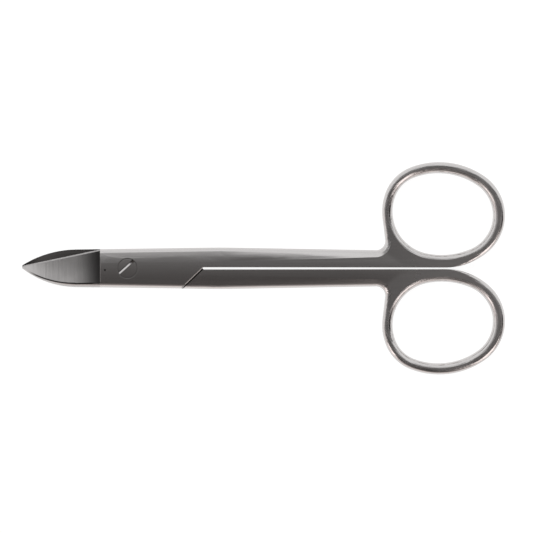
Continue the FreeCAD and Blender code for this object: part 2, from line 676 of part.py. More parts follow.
def cut(doc, name, base, tool):
    """One solid less another."""
    feature = doc.addObject("Part::Cut", name)
    feature.Base, feature.Tool = base, tool
    doc.recompute()
    return feature


def build_half(doc, sheet, label, side):
    """One half of the scissors. side is + for the blade that curves up out of
    the mating plane and - for the one that curves down."""
    body = doc.addObject("PartDesign::Body", label + "_forging")
    reach = "2 * ({thickness} + {blade_length})"
    extrude(body, "Pad", draw_planform(body, sheet, side), reach, both=True)
    extrude(body, "Pocket", draw_side(body, sheet, side), reach, both=True)
    outline = draw_outline(body, sheet)
    extrude(body, "Pad", outline, "{thickness}", both=True)
    bore = draw_bore(body, sheet)
    extrude(body, "Pocket", bore, reach, both=True)
    extrude(body, "Pocket", draw_recess(body, sheet), "{thickness}")
    round_spine(body, sheet, side, outline)
    skin(body, "Subtractive", "HollowGrind", [draw_hollow(body, sheet, side, "Grind%d" % i, along)
                                              for i, along in enumerate(grind_stations())])
    skin(body, "Subtractive", "InnerHollow", [draw_inner(body, sheet, side, "Inner%d" % i, along)
                                              for i, along in enumerate(inner_stations())])
    if side == "+":
        drill(body, sheet, "BearingBore", "{bearing_diameter} / 2 + {screw_clearance}")
        drill(body, sheet, "HeadRecess", "{head_diameter} / 2 + {screw_clearance}",
              "{thickness} / 2", "{head_height} + {screw_clearance}")
    else:
        drill(body, sheet, "ThreadBore", "{thread_diameter} / 2")
    rounded = round_bow(doc, sheet, label, body, outline, bore)
    polished = cut(doc, label + "_lap_polished", rounded, belt(doc, sheet, label, "+", outline))
    half = cut(doc, label, polished, belt(doc, sheet, label, "-", outline))
    half.Label = label
    half.setExpression("Placement.Base.z", cells("{thickness} / 2"))
    doc.recompute()
    return half


def build_screw(doc, sheet, label):
    """The stepped pivot screw, its seat on the rear lap's face."""
    body = doc.addObject("PartDesign::Body", label)
    body.Label = label
    turned = Drawing(body, sheet, "Turned", "XZ_Plane")
    seat, tail = "-{face_gap} / 2", "-{thickness} / 2"
    under, top = "{thickness} / 2 - {head_height}", "{thickness} / 2"
    thread, shank, head = "{thread_diameter} / 2", "{bearing_diameter} / 2", "{head_diameter} / 2"
    turned.polygon([("0", tail),
                    (thread + " - {tail_lead}", tail),
                    (thread, tail + " + {tail_lead}"),
                    (thread, seat),
                    (shank, seat),
                    (shank, under),
                    (head, under),
                    (head, top),
                    ("0", top)])
    feature = body.newObject("PartDesign::Revolution", "TurnedScrew")
    feature.Profile = turned.sketch
    feature.ReferenceAxis = (turned.sketch, ["V_Axis"])
    turned.sketch.Visibility = False
    doc.recompute()
    slot = Drawing(body, sheet, "Slot", "XY_Plane", "{thickness} / 2")
    along, across = ("cos({slot_angle} * 1deg)", "sin({slot_angle} * 1deg)")
    corners = []
    for reach, side in (("-{head_diameter}", "-"), ("{head_diameter}", "-"),
                        ("{head_diameter}", "+"), ("-{head_diameter}", "+")):
        off = "({slot_offset} %s {slot_width} / 2)" % side
        corners.append(("%s * %s - %s * %s" % (reach, along, off, across),
                        "%s * %s + %s * %s" % (reach, across, off, along)))
    slot.polygon(corners)
    extrude(body, "Pocket", slot, "{slot_depth}")
    body.setExpression("Placement.Base.z", cells("{thickness} / 2"))
    doc.recompute()
    return body


def build(doc):
    """Builds the three pieces in the shared frame, closed."""
    sheet = make_sheet(doc)
    front = build_half(doc, sheet, "front_half", "+")
    rear = build_half(doc, sheet, "rear_half", "-")
    rear.Placement = Placement(rear.Placement.Base, Rotation(Vector(1, 0, 0), 180))
    screw = build_screw(doc, sheet, "pivot_screw")
    doc.recompute()
    return [front, rear, screw]


def check(doc, nodes):
    """Stops the build if any feature failed or any piece isn't one good solid."""
    for item in doc.Objects:
        if {"Invalid", "Error"} & set(item.State):
            raise RuntimeError("%s: %s" % (item.Name, item.State))
    for node in nodes:
        shape = node.Shape
        if shape.isNull() or not shape.isValid() or len(shape.Solids) != 1:
            raise RuntimeError("%s isn't one valid solid" % node.Label)


def report(node):
    """Prints a piece's extent and volume."""
    box = node.Shape.optimalBoundingBox()
    print("%-12s x %.2f..%.2f  y %.2f..%.2f  z %.2f..%.2f  %.1f mm3" % (
        node.Label, box.XMin, box.XMax, box.YMin, box.YMax, box.ZMin, box.ZMax, node.Shape.Volume))


def main():
    doc = FreeCAD.newDocument("CrownScissors")
    nodes = build(doc)
    check(doc, nodes)
    os.makedirs("parts", exist_ok=True)
    for node in nodes:
        report(node)
        node.Shape.exportStep("parts/%s.step" % node.Label)


main()
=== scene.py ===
# %% [markdown]
# # Crown scissors
#
# Small dental scissors of satin stainless steel, photographed closed and from straight above on white.
# The three metal pieces come from the frame: two forged halves and the screw they turn on. Their shapes
# are right already, so this lesson is about what makes bare metal look real: what it reflects, how the
# polishing marks run, and how each ground face differs from the next.

import json
import math

import bpy
import numpy as np
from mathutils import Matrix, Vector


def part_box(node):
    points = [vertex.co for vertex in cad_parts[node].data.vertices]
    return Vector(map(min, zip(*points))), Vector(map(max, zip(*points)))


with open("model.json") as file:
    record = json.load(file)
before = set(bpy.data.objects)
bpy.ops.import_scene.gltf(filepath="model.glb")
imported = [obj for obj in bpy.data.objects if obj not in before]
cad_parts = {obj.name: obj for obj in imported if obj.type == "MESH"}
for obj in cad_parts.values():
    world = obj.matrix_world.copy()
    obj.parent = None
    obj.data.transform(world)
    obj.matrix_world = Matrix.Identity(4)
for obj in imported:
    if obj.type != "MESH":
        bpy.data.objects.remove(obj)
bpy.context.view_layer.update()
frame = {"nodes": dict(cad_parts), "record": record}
MM = 0.001
print("nodes:", sorted(frame["nodes"]))

# %% [markdown]
# ## Where things are
#
# The finishes need to know where the joint ends, where the blade's back runs and where the ring's middle
# is. The frame's boxes and its record give some of it. The rest are the forging's own sizes, measured from
# the screw's axis, with the shanks along +X and each half's own ring on its positive side.

# %% Places
front_low, front_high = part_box("front_half")
screw_low, screw_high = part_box("pivot_screw")
FACE_HEIGHT = screw_high.z
HEAD_RADIUS = screw_high.x
TIP_X = front_low.x
JOINT_HALF = 4.17 * MM
SHOULDER_X = -6.0 * MM
BORE = frame["record"]["physics"]["openings"][0]["box_m"]
RING_X, RING_Y = [(low + high) / 2 for low, high in zip(*BORE)][:2]
RING_HALF_X, RING_HALF_Y = 12.9 * MM, 10.3 * MM
HEEL = np.array((11.8 * MM, -4.27 * MM))
TOE = np.array((16.5 * MM, 0.21 * MM))
LAP_GAP = 0.15 * MM
SCREW_GAP = 0.03 * MM
print("scissors %.1f mm long" % ((front_high.x - TIP_X) / MM))
print("screw %.2f mm long, its head up to %.2f mm" % ((FACE_HEIGHT - screw_low.z) / MM, FACE_HEIGHT / MM))
print("ring's middle %.1f mm along and %.1f mm out" % (RING_X / MM, RING_Y / MM))

# %% [markdown]
# ## Camera
#
# The photograph looks straight down with a long lens. One value sets the picture's width at the height of
# the upper faces, and the lens follows from it, so the camera can stand far off without changing the frame.

# %% Camera
PICTURE_WIDTH = 115.94 * MM
PICTURE_CENTRE = (30.24 * MM, 0.39 * MM)
CAMERA_DISTANCE = 1.0
SENSOR_WIDTH = 36.0

camera_data = bpy.data.cameras.new("camera")
camera_data.sensor_width = SENSOR_WIDTH
camera_data.lens = SENSOR_WIDTH * CAMERA_DISTANCE / PICTURE_WIDTH
camera = bpy.data.objects.new("camera", camera_data)
camera.location = (*PICTURE_CENTRE, FACE_HEIGHT + CAMERA_DISTANCE)
bpy.context.scene.collection.objects.link(camera)
bpy.context.scene.camera = camera
print("lens %.0f mm" % camera_data.lens)


# %% [markdown]
# ## Arithmetic in a node tree
#
# Every finish below is a small tree of nodes, and most of its nodes only reckon with numbers. These helpers
# keep the trees readable. Each adds one node or a few, and gives back the socket with the result, so that
# calls can be put inside each other like a formula.

# %% Helpers for numbers
def add_node(tree, kind, **settings):
    """A node of the given kind, with its properties set."""
    node = tree.nodes.new("ShaderNode" + kind)
    for name, value in settings.items():
        setattr(node, name, value)
    return node


def feed(tree, socket, value):
    """Links an output to a socket, or sets the socket to a constant."""
    if isinstance(value, bpy.types.NodeSocket):
        tree.links.new(value, socket)
    else:
        socket.default_value = value


def calc(tree, operation, *values):
    """The result of one arithmetic node."""
    node = add_node(tree, "Math", operation=operation)
    for socket, value in zip(node.inputs, values):
        feed(tree, socket, value)
    return node.outputs[0]


def product(tree, *values):
    """All the values multiplied together."""
    total = values[0]
    for value in values[1:]:
        total = calc(tree, "MULTIPLY", total, value)
    return total


def summed(tree, *values):
    """All the values added together."""
    total = values[0]
    for value in values[1:]:
        total = calc(tree, "ADD", total, value)
    return total


def length(tree, first, second):
    """Length of the line with these two legs."""
    squares = [calc(tree, "MULTIPLY", leg, leg) for leg in (first, second)]
    return calc(tree, "SQRT", calc(tree, "ADD", *squares))


print("helpers for sums, products and lengths")


# %% [markdown]
# ## Shares and blends
#
# A finish covers one place and not the next, so each has a share: 1 where it lies, 0 where it doesn't, and
# a soft step between. Shares are multiplied where two conditions meet, and a blend then picks between two
# values or two colours.

# %% Helpers for shares
def step_up(tree, value, low, high):
    """0 below low, 1 above high, and a smooth S between. With high below low it steps down."""
    node = add_node(tree, "MapRange", interpolation_type="SMOOTHSTEP")
    feed(tree, node.inputs["Value"], value)
    node.inputs["From Min"].default_value = low
    node.inputs["From Max"].default_value = high
    return node.outputs["Result"]


def band(tree, value, middle, half_width, softness):
    """1 where value is near middle, 0 past the half width, with soft sides."""
    off = calc(tree, "ABSOLUTE", calc(tree, "SUBTRACT", value, middle))
    return step_up(tree, off, half_width + softness, half_width)


def other(tree, share):
    """1 where the share is 0, and 0 where it is 1."""
    return calc(tree, "SUBTRACT", 1.0, share)


def blend_values(tree, share, first, second):
    """first where share is 0 and second where it is 1."""
    node = add_node(tree, "Mix", data_type="FLOAT")
    feed(tree, node.inputs["Factor"], share)
    feed(tree, node.inputs["A"], first)
    feed(tree, node.inputs["B"], second)
    return node.outputs["Result"]


def blend_colours(tree, share, first, second):
    """The same for two constant colours."""
    node = add_node(tree, "Mix", data_type="RGBA")
    feed(tree, node.inputs["Factor"], share)
    ends = [socket for socket in node.inputs if socket.type == "RGBA"]
    for socket, colour in zip(ends, (first, second)):
        socket.default_value = (*colour, 1.0)
    return next(socket for socket in node.outputs if socket.type == "RGBA")


print("helpers for steps, bands and blends")


# %% [markdown]
# ## Curves, directions and noise
#
# The last helpers draw a curve through a few stops, take a direction apart and put it together, and add the
# noise that every polishing mark starts from.

# %% Helpers for curves and directions
def ramp(tree, value, stops):
    """A smooth curve through (position, level) stops, as grey."""
    node = add_node(tree, "ValToRGB")
    node.color_ramp.interpolation = "B_SPLINE"
    elements = node.color_ramp.elements
    while len(elements) < len(stops):
        elements.new(0.5)
    for element, (position, level) in zip(elements, stops):
        element.position = position
        element.color = (level, level, level, 1.0)
    feed(tree, node.inputs["Fac"], value)
    return node.outputs["Color"]


def split(tree, vector):
    """The three numbers of a vector."""
    node = add_node(tree, "SeparateXYZ")
    tree.links.new(vector, node.inputs[0])
    return node.outputs


def vector_of(tree, x, y, z):
    """A vector from three numbers."""
    node = add_node(tree, "CombineXYZ")
    for socket, value in zip(node.inputs, (x, y, z)):
        feed(tree, socket, value)
    return node.outputs[0]


def noise(tree, vector, detail):
    """Noise about 0, roughly from -0.5 to 0.5, with one cell per unit of the vector."""
    node = add_node(tree, "TexNoise")
    node.inputs["Scale"].default_value = 1.0
    node.inputs["Detail"].default_value = detail
    tree.links.new(vector, node.inputs["Vector"])
    return calc(tree, "SUBTRACT", node.outputs["Fac"], 0.5)


def world_normal(tree, vector):
    """An object's own direction as a normal in the scene."""
    turn = add_node(tree, "VectorTransform", vector_type="NORMAL")
    turn.convert_from = "OBJECT"
    turn.convert_to = "WORLD"
    tree.links.new(vector, turn.inputs[0])
    return turn.outputs[0]


print("helpers for curves, directions and noise")


# %% [markdown]
# ## The light
#
# Polished steel has hardly a colour of its own: it shows the room. On a copy stand the lamps stand low and
# all round, and above is only the dark ceiling with the lens in it. So a face that looks straight up is
# grey, and every rounded edge, which looks sideways, is white.
#
# The world here is that room, written as a curve. For each direction it works out how far a small mirror
# must tilt to send that direction up into the lens, and the level depends on this tilt alone. The middle of
# the dark zone lies a little towards the near side, and the zone reaches further to one side than to the
# other. The far side is cool and the near side is warm. Two lamps and one black flag stand nearer, as round
# spots, and only the rings, which face every way, catch them.

# %% World
DARK_TILT = -0.16
REACH_RIGHT, REACH_LEFT = 1.5, 1.25
ROOM_LEVELS = ((0.0, 0.064), (0.06, 0.07), (0.16, 0.12), (0.23, 0.17), (0.3, 0.23), (0.36, 0.34),
               (0.41, 0.57), (0.46, 1.0), (0.52, 1.75), (0.6, 1.02), (0.68, 0.84), (0.8, 1.0), (1.0, 1.18))
ROOM_SPOTS = ((0.3, -0.3, 0.15, 1.8), (-0.38, -0.26, 0.12, 1.8), (0.45, -0.02, 0.13, 0.01))
SPOT_OUTSIDE, SPOT_INSIDE = 1.4, 0.6
WARM, COOL = (1.0, 0.915, 0.89), (0.99, 0.995, 1.0)
WARM_TO_COOL = (-0.3, 0.24)
ABOVE_ZERO = 0.0001


def make_world():
    """Level as a function of the tilt of the mirror that sends each direction to the lens.

    For a direction (x, y, z) that tilt is (x, y) / sqrt(2 + 2 z). A hair is added under the root, so that
    the direction straight down doesn't divide by zero.
    """
    world = bpy.data.worlds.new("room")
    world.use_nodes = True
    tree = world.node_tree
    tree.nodes.clear()
    x, y, z = split(tree, add_node(tree, "TexCoord").outputs["Generated"])
    span = calc(tree, "SQRT", calc(tree, "MULTIPLY_ADD", z, 2.0, 2.0 + ABOVE_ZERO))
    tilt_x = calc(tree, "DIVIDE", x, span)
    tilt_y = calc(tree, "DIVIDE", y, span)
    off_x = calc(tree, "MAXIMUM", calc(tree, "DIVIDE", tilt_x, REACH_RIGHT),
                 calc(tree, "DIVIDE", tilt_x, -REACH_LEFT))
    off_y = calc(tree, "SUBTRACT", tilt_y, DARK_TILT)
    level = ramp(tree, length(tree, off_x, off_y), ROOM_LEVELS)
    for spot_x, spot_y, radius, strength in ROOM_SPOTS:
        off = length(tree, calc(tree, "SUBTRACT", tilt_x, spot_x), calc(tree, "SUBTRACT", tilt_y, spot_y))
        in_spot = step_up(tree, off, radius * SPOT_OUTSIDE, radius * SPOT_INSIDE)
        level = blend_values(tree, in_spot, level, strength)
    tint = blend_colours(tree, step_up(tree, tilt_y, *WARM_TO_COOL), WARM, COOL)
    background = add_node(tree, "Background")
    tree.links.new(tint, background.inputs["Color"])
    tree.links.new(level, background.inputs["Strength"])
    output = add_node(tree, "OutputWorld")
    tree.links.new(background.outputs[0], output.inputs["Surface"])
    bpy.context.scene.world = world
    return world


room = make_world()
bpy.context.scene.view_settings.view_transform = "Standard"
print("%s: %d levels, %d spots" % (room.name, len(ROOM_LEVELS), len(ROOM_SPOTS)))


# %% [markdown]
# ## The floor
#
# The photograph's ground is pure white with no shadow to see. The floor gives most of that white itself, to
# the camera and to the steel that mirrors it, and the small rest is ordinary lit paint, so the scissors
# still throw a faint soft shadow.

# %% Floor
FLOOR_HALF = 3.0
FLOOR_DROP = 0.02 * MM
FLOOR_GLOW = 0.93
FLOOR_PAINT = 0.2


def floor_paint():
    """White glow where the camera or a mirror sees the floor, and a little paint that takes the shadow."""
    paint = bpy.data.materials.new("floor_paint")
    paint.use_nodes = True
    tree = paint.node_tree
    tree.nodes.clear()
    rays = add_node(tree, "LightPath")
    seen = calc(tree, "MAXIMUM", rays.outputs["Is Camera Ray"], rays.outputs["Is Glossy Ray"])
    seen = calc(tree, "MAXIMUM", seen, rays.outputs["Is Transmission Ray"])
    glow = add_node(tree, "Emission")
    glow.inputs["Color"].default_value = (1.0, 1.0, 1.0, 1.0)
    tree.links.new(calc(tree, "MULTIPLY", seen, FLOOR_GLOW), glow.inputs["Strength"])
    matt = add_node(tree, "BsdfDiffuse")
    matt.inputs["Color"].default_value = (FLOOR_PAINT, FLOOR_PAINT, FLOOR_PAINT, 1.0)
    both = add_node(tree, "AddShader")
    tree.links.new(glow.outputs[0], both.inputs[0])
    tree.links.new(matt.outputs[0], both.inputs[1])
    output = add_node(tree, "OutputMaterial")
    tree.links.new(both.outputs[0], output.inputs["Surface"])
    return paint


def make_floor():
    """One large square, a hair under the scissors."""
    mesh = bpy.data.meshes.new("floor")
    corners = [(x * FLOOR_HALF, y * FLOOR_HALF, 0.0) for x, y in ((-1, -1), (1, -1), (1, 1), (-1, 1))]
    mesh.from_pydata(corners, [], [(0, 1, 2, 3)])
    mesh.materials.append(floor_paint())
    floor = bpy.data.objects.new("floor", mesh)
    bpy.context.scene.collection.objects.link(floor)
    floor.location.z = -FLOOR_DROP
    return floor


floor = make_floor()
print("%s %.0f m wide" % (floor.name, 2 * FLOOR_HALF))


# %% [markdown]
# ## Where each finish lies on a half
#
# A half is one forging with four finishes: the hollow ground outside of the blade, its polished inside, the
# belt-polished joint and shank, and the ring, which is polished by hand. Both halves are the same forging,
# one of them turned over. So every finish is worked out in the half's own turned coordinates: `across` is
# the distance from the centre line towards the half's ring, and `facing` says how far a face looks out.

# %% Zones
BLADE_LENGTH = SHOULDER_X - TIP_X
BLADE_ROOT = (SHOULDER_X + 0.02 * MM, SHOULDER_X - 0.03 * MM)
OUTWARDS = (-0.1, 0.1)
FLAT = (0.9978, 0.9992)
RING_OUTSIDE, RING_INSIDE = 1.3, 1.18


def zones(tree, side):
    """Places, directions and shares of the finishes on one half, by name.

    `oval` is the distance from the ring's middle, with each leg divided by half the ring's width that way,
    so it is 1 all along the ring.
    """
    coordinates = add_node(tree, "TexCoord")
    x, y, z = split(tree, coordinates.outputs["Object"])
    lean_x, lean_y, lean_z = split(tree, coordinates.outputs["Normal"])
    zone = {"x": x, "y": y, "z": z, "lean": (lean_x, lean_y, lean_z)}
    zone["across"] = calc(tree, "MULTIPLY", y, side)
    zone["facing"] = calc(tree, "MULTIPLY", lean_z, side)
    zone["flat"] = step_up(tree, calc(tree, "ABSOLUTE", lean_z), *FLAT)
    zone["blade"] = step_up(tree, x, *BLADE_ROOT)
    outwards = step_up(tree, zone["facing"], *OUTWARDS)
    zone["hollow"] = product(tree, zone["blade"], outwards)
    zone["inside"] = product(tree, zone["blade"], other(tree, outwards))
    off_middle = [calc(tree, "DIVIDE", calc(tree, "SUBTRACT", leg, middle), half) for leg, middle, half in
                  ((x, RING_X, RING_HALF_X), (zone["across"], RING_Y, RING_HALF_Y))]
    zone["oval"] = length(tree, *off_middle)
    zone["ring_way"] = [calc(tree, "DIVIDE", leg, zone["oval"]) for leg in off_middle]
    zone["ring"] = step_up(tree, zone["oval"], RING_OUTSIDE, RING_INSIDE)
    zone["crest"] = product(tree, zone["ring"], other(tree, zone["flat"]))
    return zone


print("blade %.1f mm long from the shoulder" % (BLADE_LENGTH / MM))


# %% [markdown]
# ## Polishing marks
#
# A mark is a tiny scratch, and what shows is its direction. On the joint and shanks the marks run
# lengthwise, on the hollow face they run across, as the wheel left them, and on the rings they go round,
# with short ones across from the last hand polish. Each set is noise stretched along its own direction, as
# a height in metres, and one bump node turns the sum into a surface.

# %% Marks
LENGTHWISE_CELLS, LENGTHWISE_HEIGHT = (90.0, 2600.0, 2600.0), 8.0e-6
CLOUD_CELLS, CLOUD_HEIGHT = (300.0, 500.0, 500.0), 1.0e-5
CROSSWISE_CELLS, CROSSWISE_HEIGHT = (1300.0, 80.0, 300.0), 1.0e-4
ROUND_CELLS, ROUND_HEIGHT = (2.5, 36.0), 5.5e-5
SHORT_CELLS, SHORT_HEIGHT = (60.0, 6.0), 2.0e-5
PLAIN_DETAIL, FINE_DETAIL = 2.0, 3.0


def streaks(tree, zone, cells, detail=PLAIN_DETAIL):
    """Noise with this many cells to a metre along x, y and z."""
    scaled = [calc(tree, "MULTIPLY", zone[axis], count) for axis, count in zip("xyz", cells)]
    return noise(tree, vector_of(tree, *scaled), detail)


def ring_streaks(tree, zone, cells):
    """The same for a ring, with cells to a radian round it and to its half width outwards."""
    along, outwards = cells
    scaled = [calc(tree, "MULTIPLY", leg, along) for leg in zone["ring_way"]]
    scaled.append(calc(tree, "MULTIPLY", zone["oval"], outwards))
    return noise(tree, vector_of(tree, *scaled), PLAIN_DETAIL)


def marks(tree, zone):
    """Height of the marks in metres, and the noise of the marks that go round the ring."""
    lengthwise = product(tree, streaks(tree, zone, LENGTHWISE_CELLS, FINE_DETAIL), LENGTHWISE_HEIGHT)
    cloudy = product(tree, streaks(tree, zone, CLOUD_CELLS), CLOUD_HEIGHT)
    crosswise = product(tree, streaks(tree, zone, CROSSWISE_CELLS, FINE_DETAIL), CROSSWISE_HEIGHT)
    rounds = ring_streaks(tree, zone, ROUND_CELLS)
    shorts = ring_streaks(tree, zone, SHORT_CELLS)
    on_ring = summed(tree, product(tree, rounds, ROUND_HEIGHT), product(tree, shorts, SHORT_HEIGHT))
    height = blend_values(tree, zone["crest"], summed(tree, lengthwise, cloudy), on_ring)
    return blend_values(tree, zone["hollow"], height, crosswise), rounds


print("marks on the shanks %.2f mm apart" % (1 / LENGTHWISE_CELLS[1] / MM))


# %% [markdown]
# ## Broken and honed edges
#
# A real edge is never quite sharp. The slanted edge of each lap, the shoulder and the rim of the screw's
# hole are broken with a stone, and each then shows as a thin light or dark line, from its lean and, beside
# the gaps, from painted shade. The cutting edge is the other kind: a narrow strip along it is honed, and
# with its own lean and a painted highlight it stands out brighter than the hollow face behind it.
# This step only says where the edges lie. Later ones say how they lean and how bright they are.

# %% Edges
LAP_WAY = (TOE - HEEL) / np.linalg.norm(TOE - HEEL)
OUTER_FACE = (0.5, 0.7)
EDGE_WIDTH, LAP_EDGE_WIDTH, EDGE_FADE = 0.17 * MM, 0.14 * MM, 0.03 * MM
LAP_EDGE_END = (0.5 * MM, 0.2 * MM)
RIM_OUTSIDE, RIM_INSIDE = (EDGE_WIDTH, EDGE_WIDTH / 2), (-0.1 * MM, -0.05 * MM)
EDGE_INSET, HONE_WIDTH, HONE_FADE = 0.07 * MM, 0.3 * MM, 0.04 * MM


def past_lap(tree, x, across):
    """Distance past the line from heel to toe: the vector from the heel, times the line's normal."""
    from_x = calc(tree, "MULTIPLY", calc(tree, "SUBTRACT", x, float(HEEL[0])), float(-LAP_WAY[1]))
    from_y = calc(tree, "MULTIPLY", calc(tree, "SUBTRACT", across, float(HEEL[1])), float(LAP_WAY[0]))
    return calc(tree, "ADD", from_x, from_y)


def add_edges(tree, zone, tip_y, hole_radius):
    """Adds the shares of the edges to a half's zones.

    The cutting edge is the straight line from the joint's side, a little inset, to the tip.
    """
    x, across = zone["x"], zone["across"]
    outer_face = step_up(tree, zone["facing"], *OUTER_FACE)
    on_lap = band(tree, past_lap(tree, x, across), LAP_EDGE_WIDTH / 2, LAP_EDGE_WIDTH / 2, EDGE_FADE)
    zone["lap_edge"] = product(tree, on_lap, outer_face, step_up(tree, across, *LAP_EDGE_END))
    at_shoulder = band(tree, x, SHOULDER_X + EDGE_WIDTH / 2, EDGE_WIDTH / 2, EDGE_FADE)
    zone["shoulder"] = product(tree, at_shoulder, zone["flat"])
    zone["reach"] = length(tree, x, across)
    outside, inside = [[hole_radius + step for step in steps] for steps in (RIM_OUTSIDE, RIM_INSIDE)]
    zone["hole_rim"] = product(tree, outer_face, step_up(tree, zone["reach"], *outside),
                               step_up(tree, zone["reach"], *inside))

    zone["along"] = calc(tree, "DIVIDE", calc(tree, "SUBTRACT", SHOULDER_X, x), BLADE_LENGTH)
    root = JOINT_HALF - EDGE_INSET
    edge = calc(tree, "MULTIPLY_ADD", zone["along"], tip_y - root, root)
    below_edge = calc(tree, "SUBTRACT", edge, across)
    near_edge = step_up(tree, below_edge, HONE_WIDTH + HONE_FADE, HONE_WIDTH - HONE_FADE)
    zone["honed"] = product(tree, zone["hollow"], near_edge)


print("the lap's edge slants %.1f degrees" % math.degrees(math.atan2(LAP_WAY[1], LAP_WAY[0])))


# %% [markdown]
# ## What the belt does to a flat
#
# No hand-held belt leaves a face truly flat: it rolls over a little towards each side, takes the sharpness
# off the start of each bevel, and on the shanks turns the long bevels brighter still. That roll is a
# hundredth of a millimetre high, too low to model, but it is all that the eye sees in a mirror. So the
# normals lean here by a formula.

# %% Belt
CROWN = 38.0
CROWN_FAR, CROWN_NEAR = 0.06, -0.085
MIDDLE_FADE = 0.1 * MM
NEARLY_FLAT = (0.955, 0.975)
BELT_ONSET, BELT_SOFTNESS = (0.06, 0.2), 0.5
BEVEL_MIDDLE, BEVEL_LEANS = 0.19, (0.22, 0.12, 0.1)
BEVEL_START = (17.0 * MM, 28.0 * MM)


def belt_roll(tree, zone):
    """What the belt adds to the y of the normal, off the blade and the ring.

    The roll is y times the crown, within two limits. A face that leans already keeps the larger lean of the
    two, and a small lean counts only in part.
    """
    y = zone["y"]
    _, lean_y, lean_z = zone["lean"]
    roll = calc(tree, "MINIMUM", calc(tree, "MULTIPLY", y, CROWN), CROWN_FAR)
    roll = calc(tree, "MAXIMUM", roll, CROWN_NEAR)
    steep = step_up(tree, calc(tree, "ABSOLUTE", lean_y), *BELT_ONSET)
    softened = calc(tree, "MULTIPLY", lean_y, blend_values(tree, steep, BELT_SOFTNESS, 1.0))
    near_roll = calc(tree, "MINIMUM", softened, roll)
    far_roll = calc(tree, "MAXIMUM", softened, roll)
    rolled = blend_values(tree, step_up(tree, y, -MIDDLE_FADE, MIDDLE_FADE), near_roll, far_roll)
    nearly_flat = step_up(tree, calc(tree, "ABSOLUTE", lean_z), *NEARLY_FLAT)
    return product(tree, calc(tree, "SUBTRACT", rolled, lean_y), nearly_flat, other(tree, zone["blade"]),
                   other(tree, zone["ring"]))


def bevel_lean(tree, zone, side, gain):
    """What the belt adds to y on a shank's long bevel: the gain times the lean past the middle one."""
    outwards = calc(tree, "MULTIPLY", zone["lean"][1], side)
    added = calc(tree, "MULTIPLY_ADD", outwards, gain, -gain * BEVEL_MIDDLE)
    return product(tree, added, band(tree, outwards, *BEVEL_LEANS), step_up(tree, zone["x"], *BEVEL_START),
                   other(tree, zone["ring"]), other(tree, zone["flat"]), side)


print("the belt's roll reaches %.1f degrees" % math.degrees(math.atan(-CROWN_NEAR)))


# %% [markdown]
# ## How the faces lean
#
# The leans of one half come together here. The belt's roll covers most of it. A ring rolls over towards
# its bore, each broken edge leans off its face, and the honed strip has one lean of its own from end to end.

# %% Lean of the normals
RING_LEAN, LAP_LEAN, RIM_LEAN, SHOULDER_LEAN, HONE_LEAN = 0.1, 0.4, 0.26, 0.24, 0.25


def leaning_normal(tree, zone, side, bevel_gain):
    """The face's normal with the belt's roll, the rings' lean and the leans of the edges added."""
    x, y = zone["x"], zone["y"]
    lean_x, lean_y, lean_z = zone["lean"]
    way_x, way_y = zone["ring_way"]
    to_bore = calc(tree, "MULTIPLY", zone["crest"], -RING_LEAN)
    to_screw = calc(tree, "MULTIPLY", zone["hole_rim"], -RIM_LEAN)
    leant_x = summed(tree, lean_x,
                     calc(tree, "MULTIPLY", way_x, to_bore),
                     calc(tree, "MULTIPLY", zone["lap_edge"], float(LAP_WAY[1]) * LAP_LEAN),
                     calc(tree, "MULTIPLY", zone["shoulder"], -SHOULDER_LEAN),
                     product(tree, calc(tree, "DIVIDE", x, zone["reach"]), to_screw))
    leant_y = summed(tree, lean_y,
                     product(tree, way_y, side, to_bore),
                     calc(tree, "MULTIPLY", zone["lap_edge"], float(-LAP_WAY[0]) * LAP_LEAN * side),
                     product(tree, calc(tree, "DIVIDE", y, zone["reach"]), to_screw),
                     belt_roll(tree, zone),
                     bevel_lean(tree, zone, side, bevel_gain))
    normal = [blend_values(tree, zone["honed"], leant, honed) for leant, honed in
              zip((leant_x, leant_y, lean_z), (0.0, side * HONE_LEAN, side))]
    return world_normal(tree, vector_of(tree, *normal))


print("the honed strip leans %.1f degrees" % math.degrees(math.atan(HONE_LEAN)))


# %% [markdown]
# ## The blade's back
#
# The grinding wheel left a narrow strip standing along the back of each blade, the land. Its edge follows
# the back at a distance, so the finish has to know how deep each point lies behind the back: measured from
# the joint's straight side near the shoulder, and from a circle beyond it.

# %% Back of the blade
SPINE_START, JOINT_FLARE = 5.3 * MM, math.radians(0.8)
SPINE_X = SHOULDER_X - SPINE_START
SPINE_CURVED = (SPINE_X, SPINE_X - 0.1 * MM)
TIP_WIDTH = 0.6 * MM


def spine_circle(tip_y):
    """Middle and radius of the circle that the blade's back follows.

    It leaves the joint's side tangentially and ends one tip's width below the cutting edge.
    """
    start = np.array((SPINE_X, -JOINT_HALF + SPINE_START * math.tan(JOINT_FLARE)))
    run = BLADE_LENGTH - SPINE_START
    rise = tip_y - TIP_WIDTH - start[1]
    radius = (run ** 2 + rise ** 2) / (2 * (rise * math.cos(JOINT_FLARE) - run * math.sin(JOINT_FLARE)))
    return start + radius * np.array((math.sin(JOINT_FLARE), math.cos(JOINT_FLARE))), float(radius)


def back_depth(tree, zone, tip_y):
    """Distance inwards from the blade's back: from its straight part first, then from its circle."""
    (middle_x, middle_y), radius = spine_circle(tip_y)
    from_middle = length(tree, calc(tree, "SUBTRACT", zone["x"], float(middle_x)),
                         calc(tree, "SUBTRACT", zone["across"], float(middle_y)))
    straight = calc(tree, "ADD", zone["across"], JOINT_HALF)
    curved = calc(tree, "SUBTRACT", radius, from_middle)
    return blend_values(tree, step_up(tree, zone["x"], *SPINE_CURVED), straight, curved)


print("the back curves from %.1f mm on" % (SPINE_X / MM))
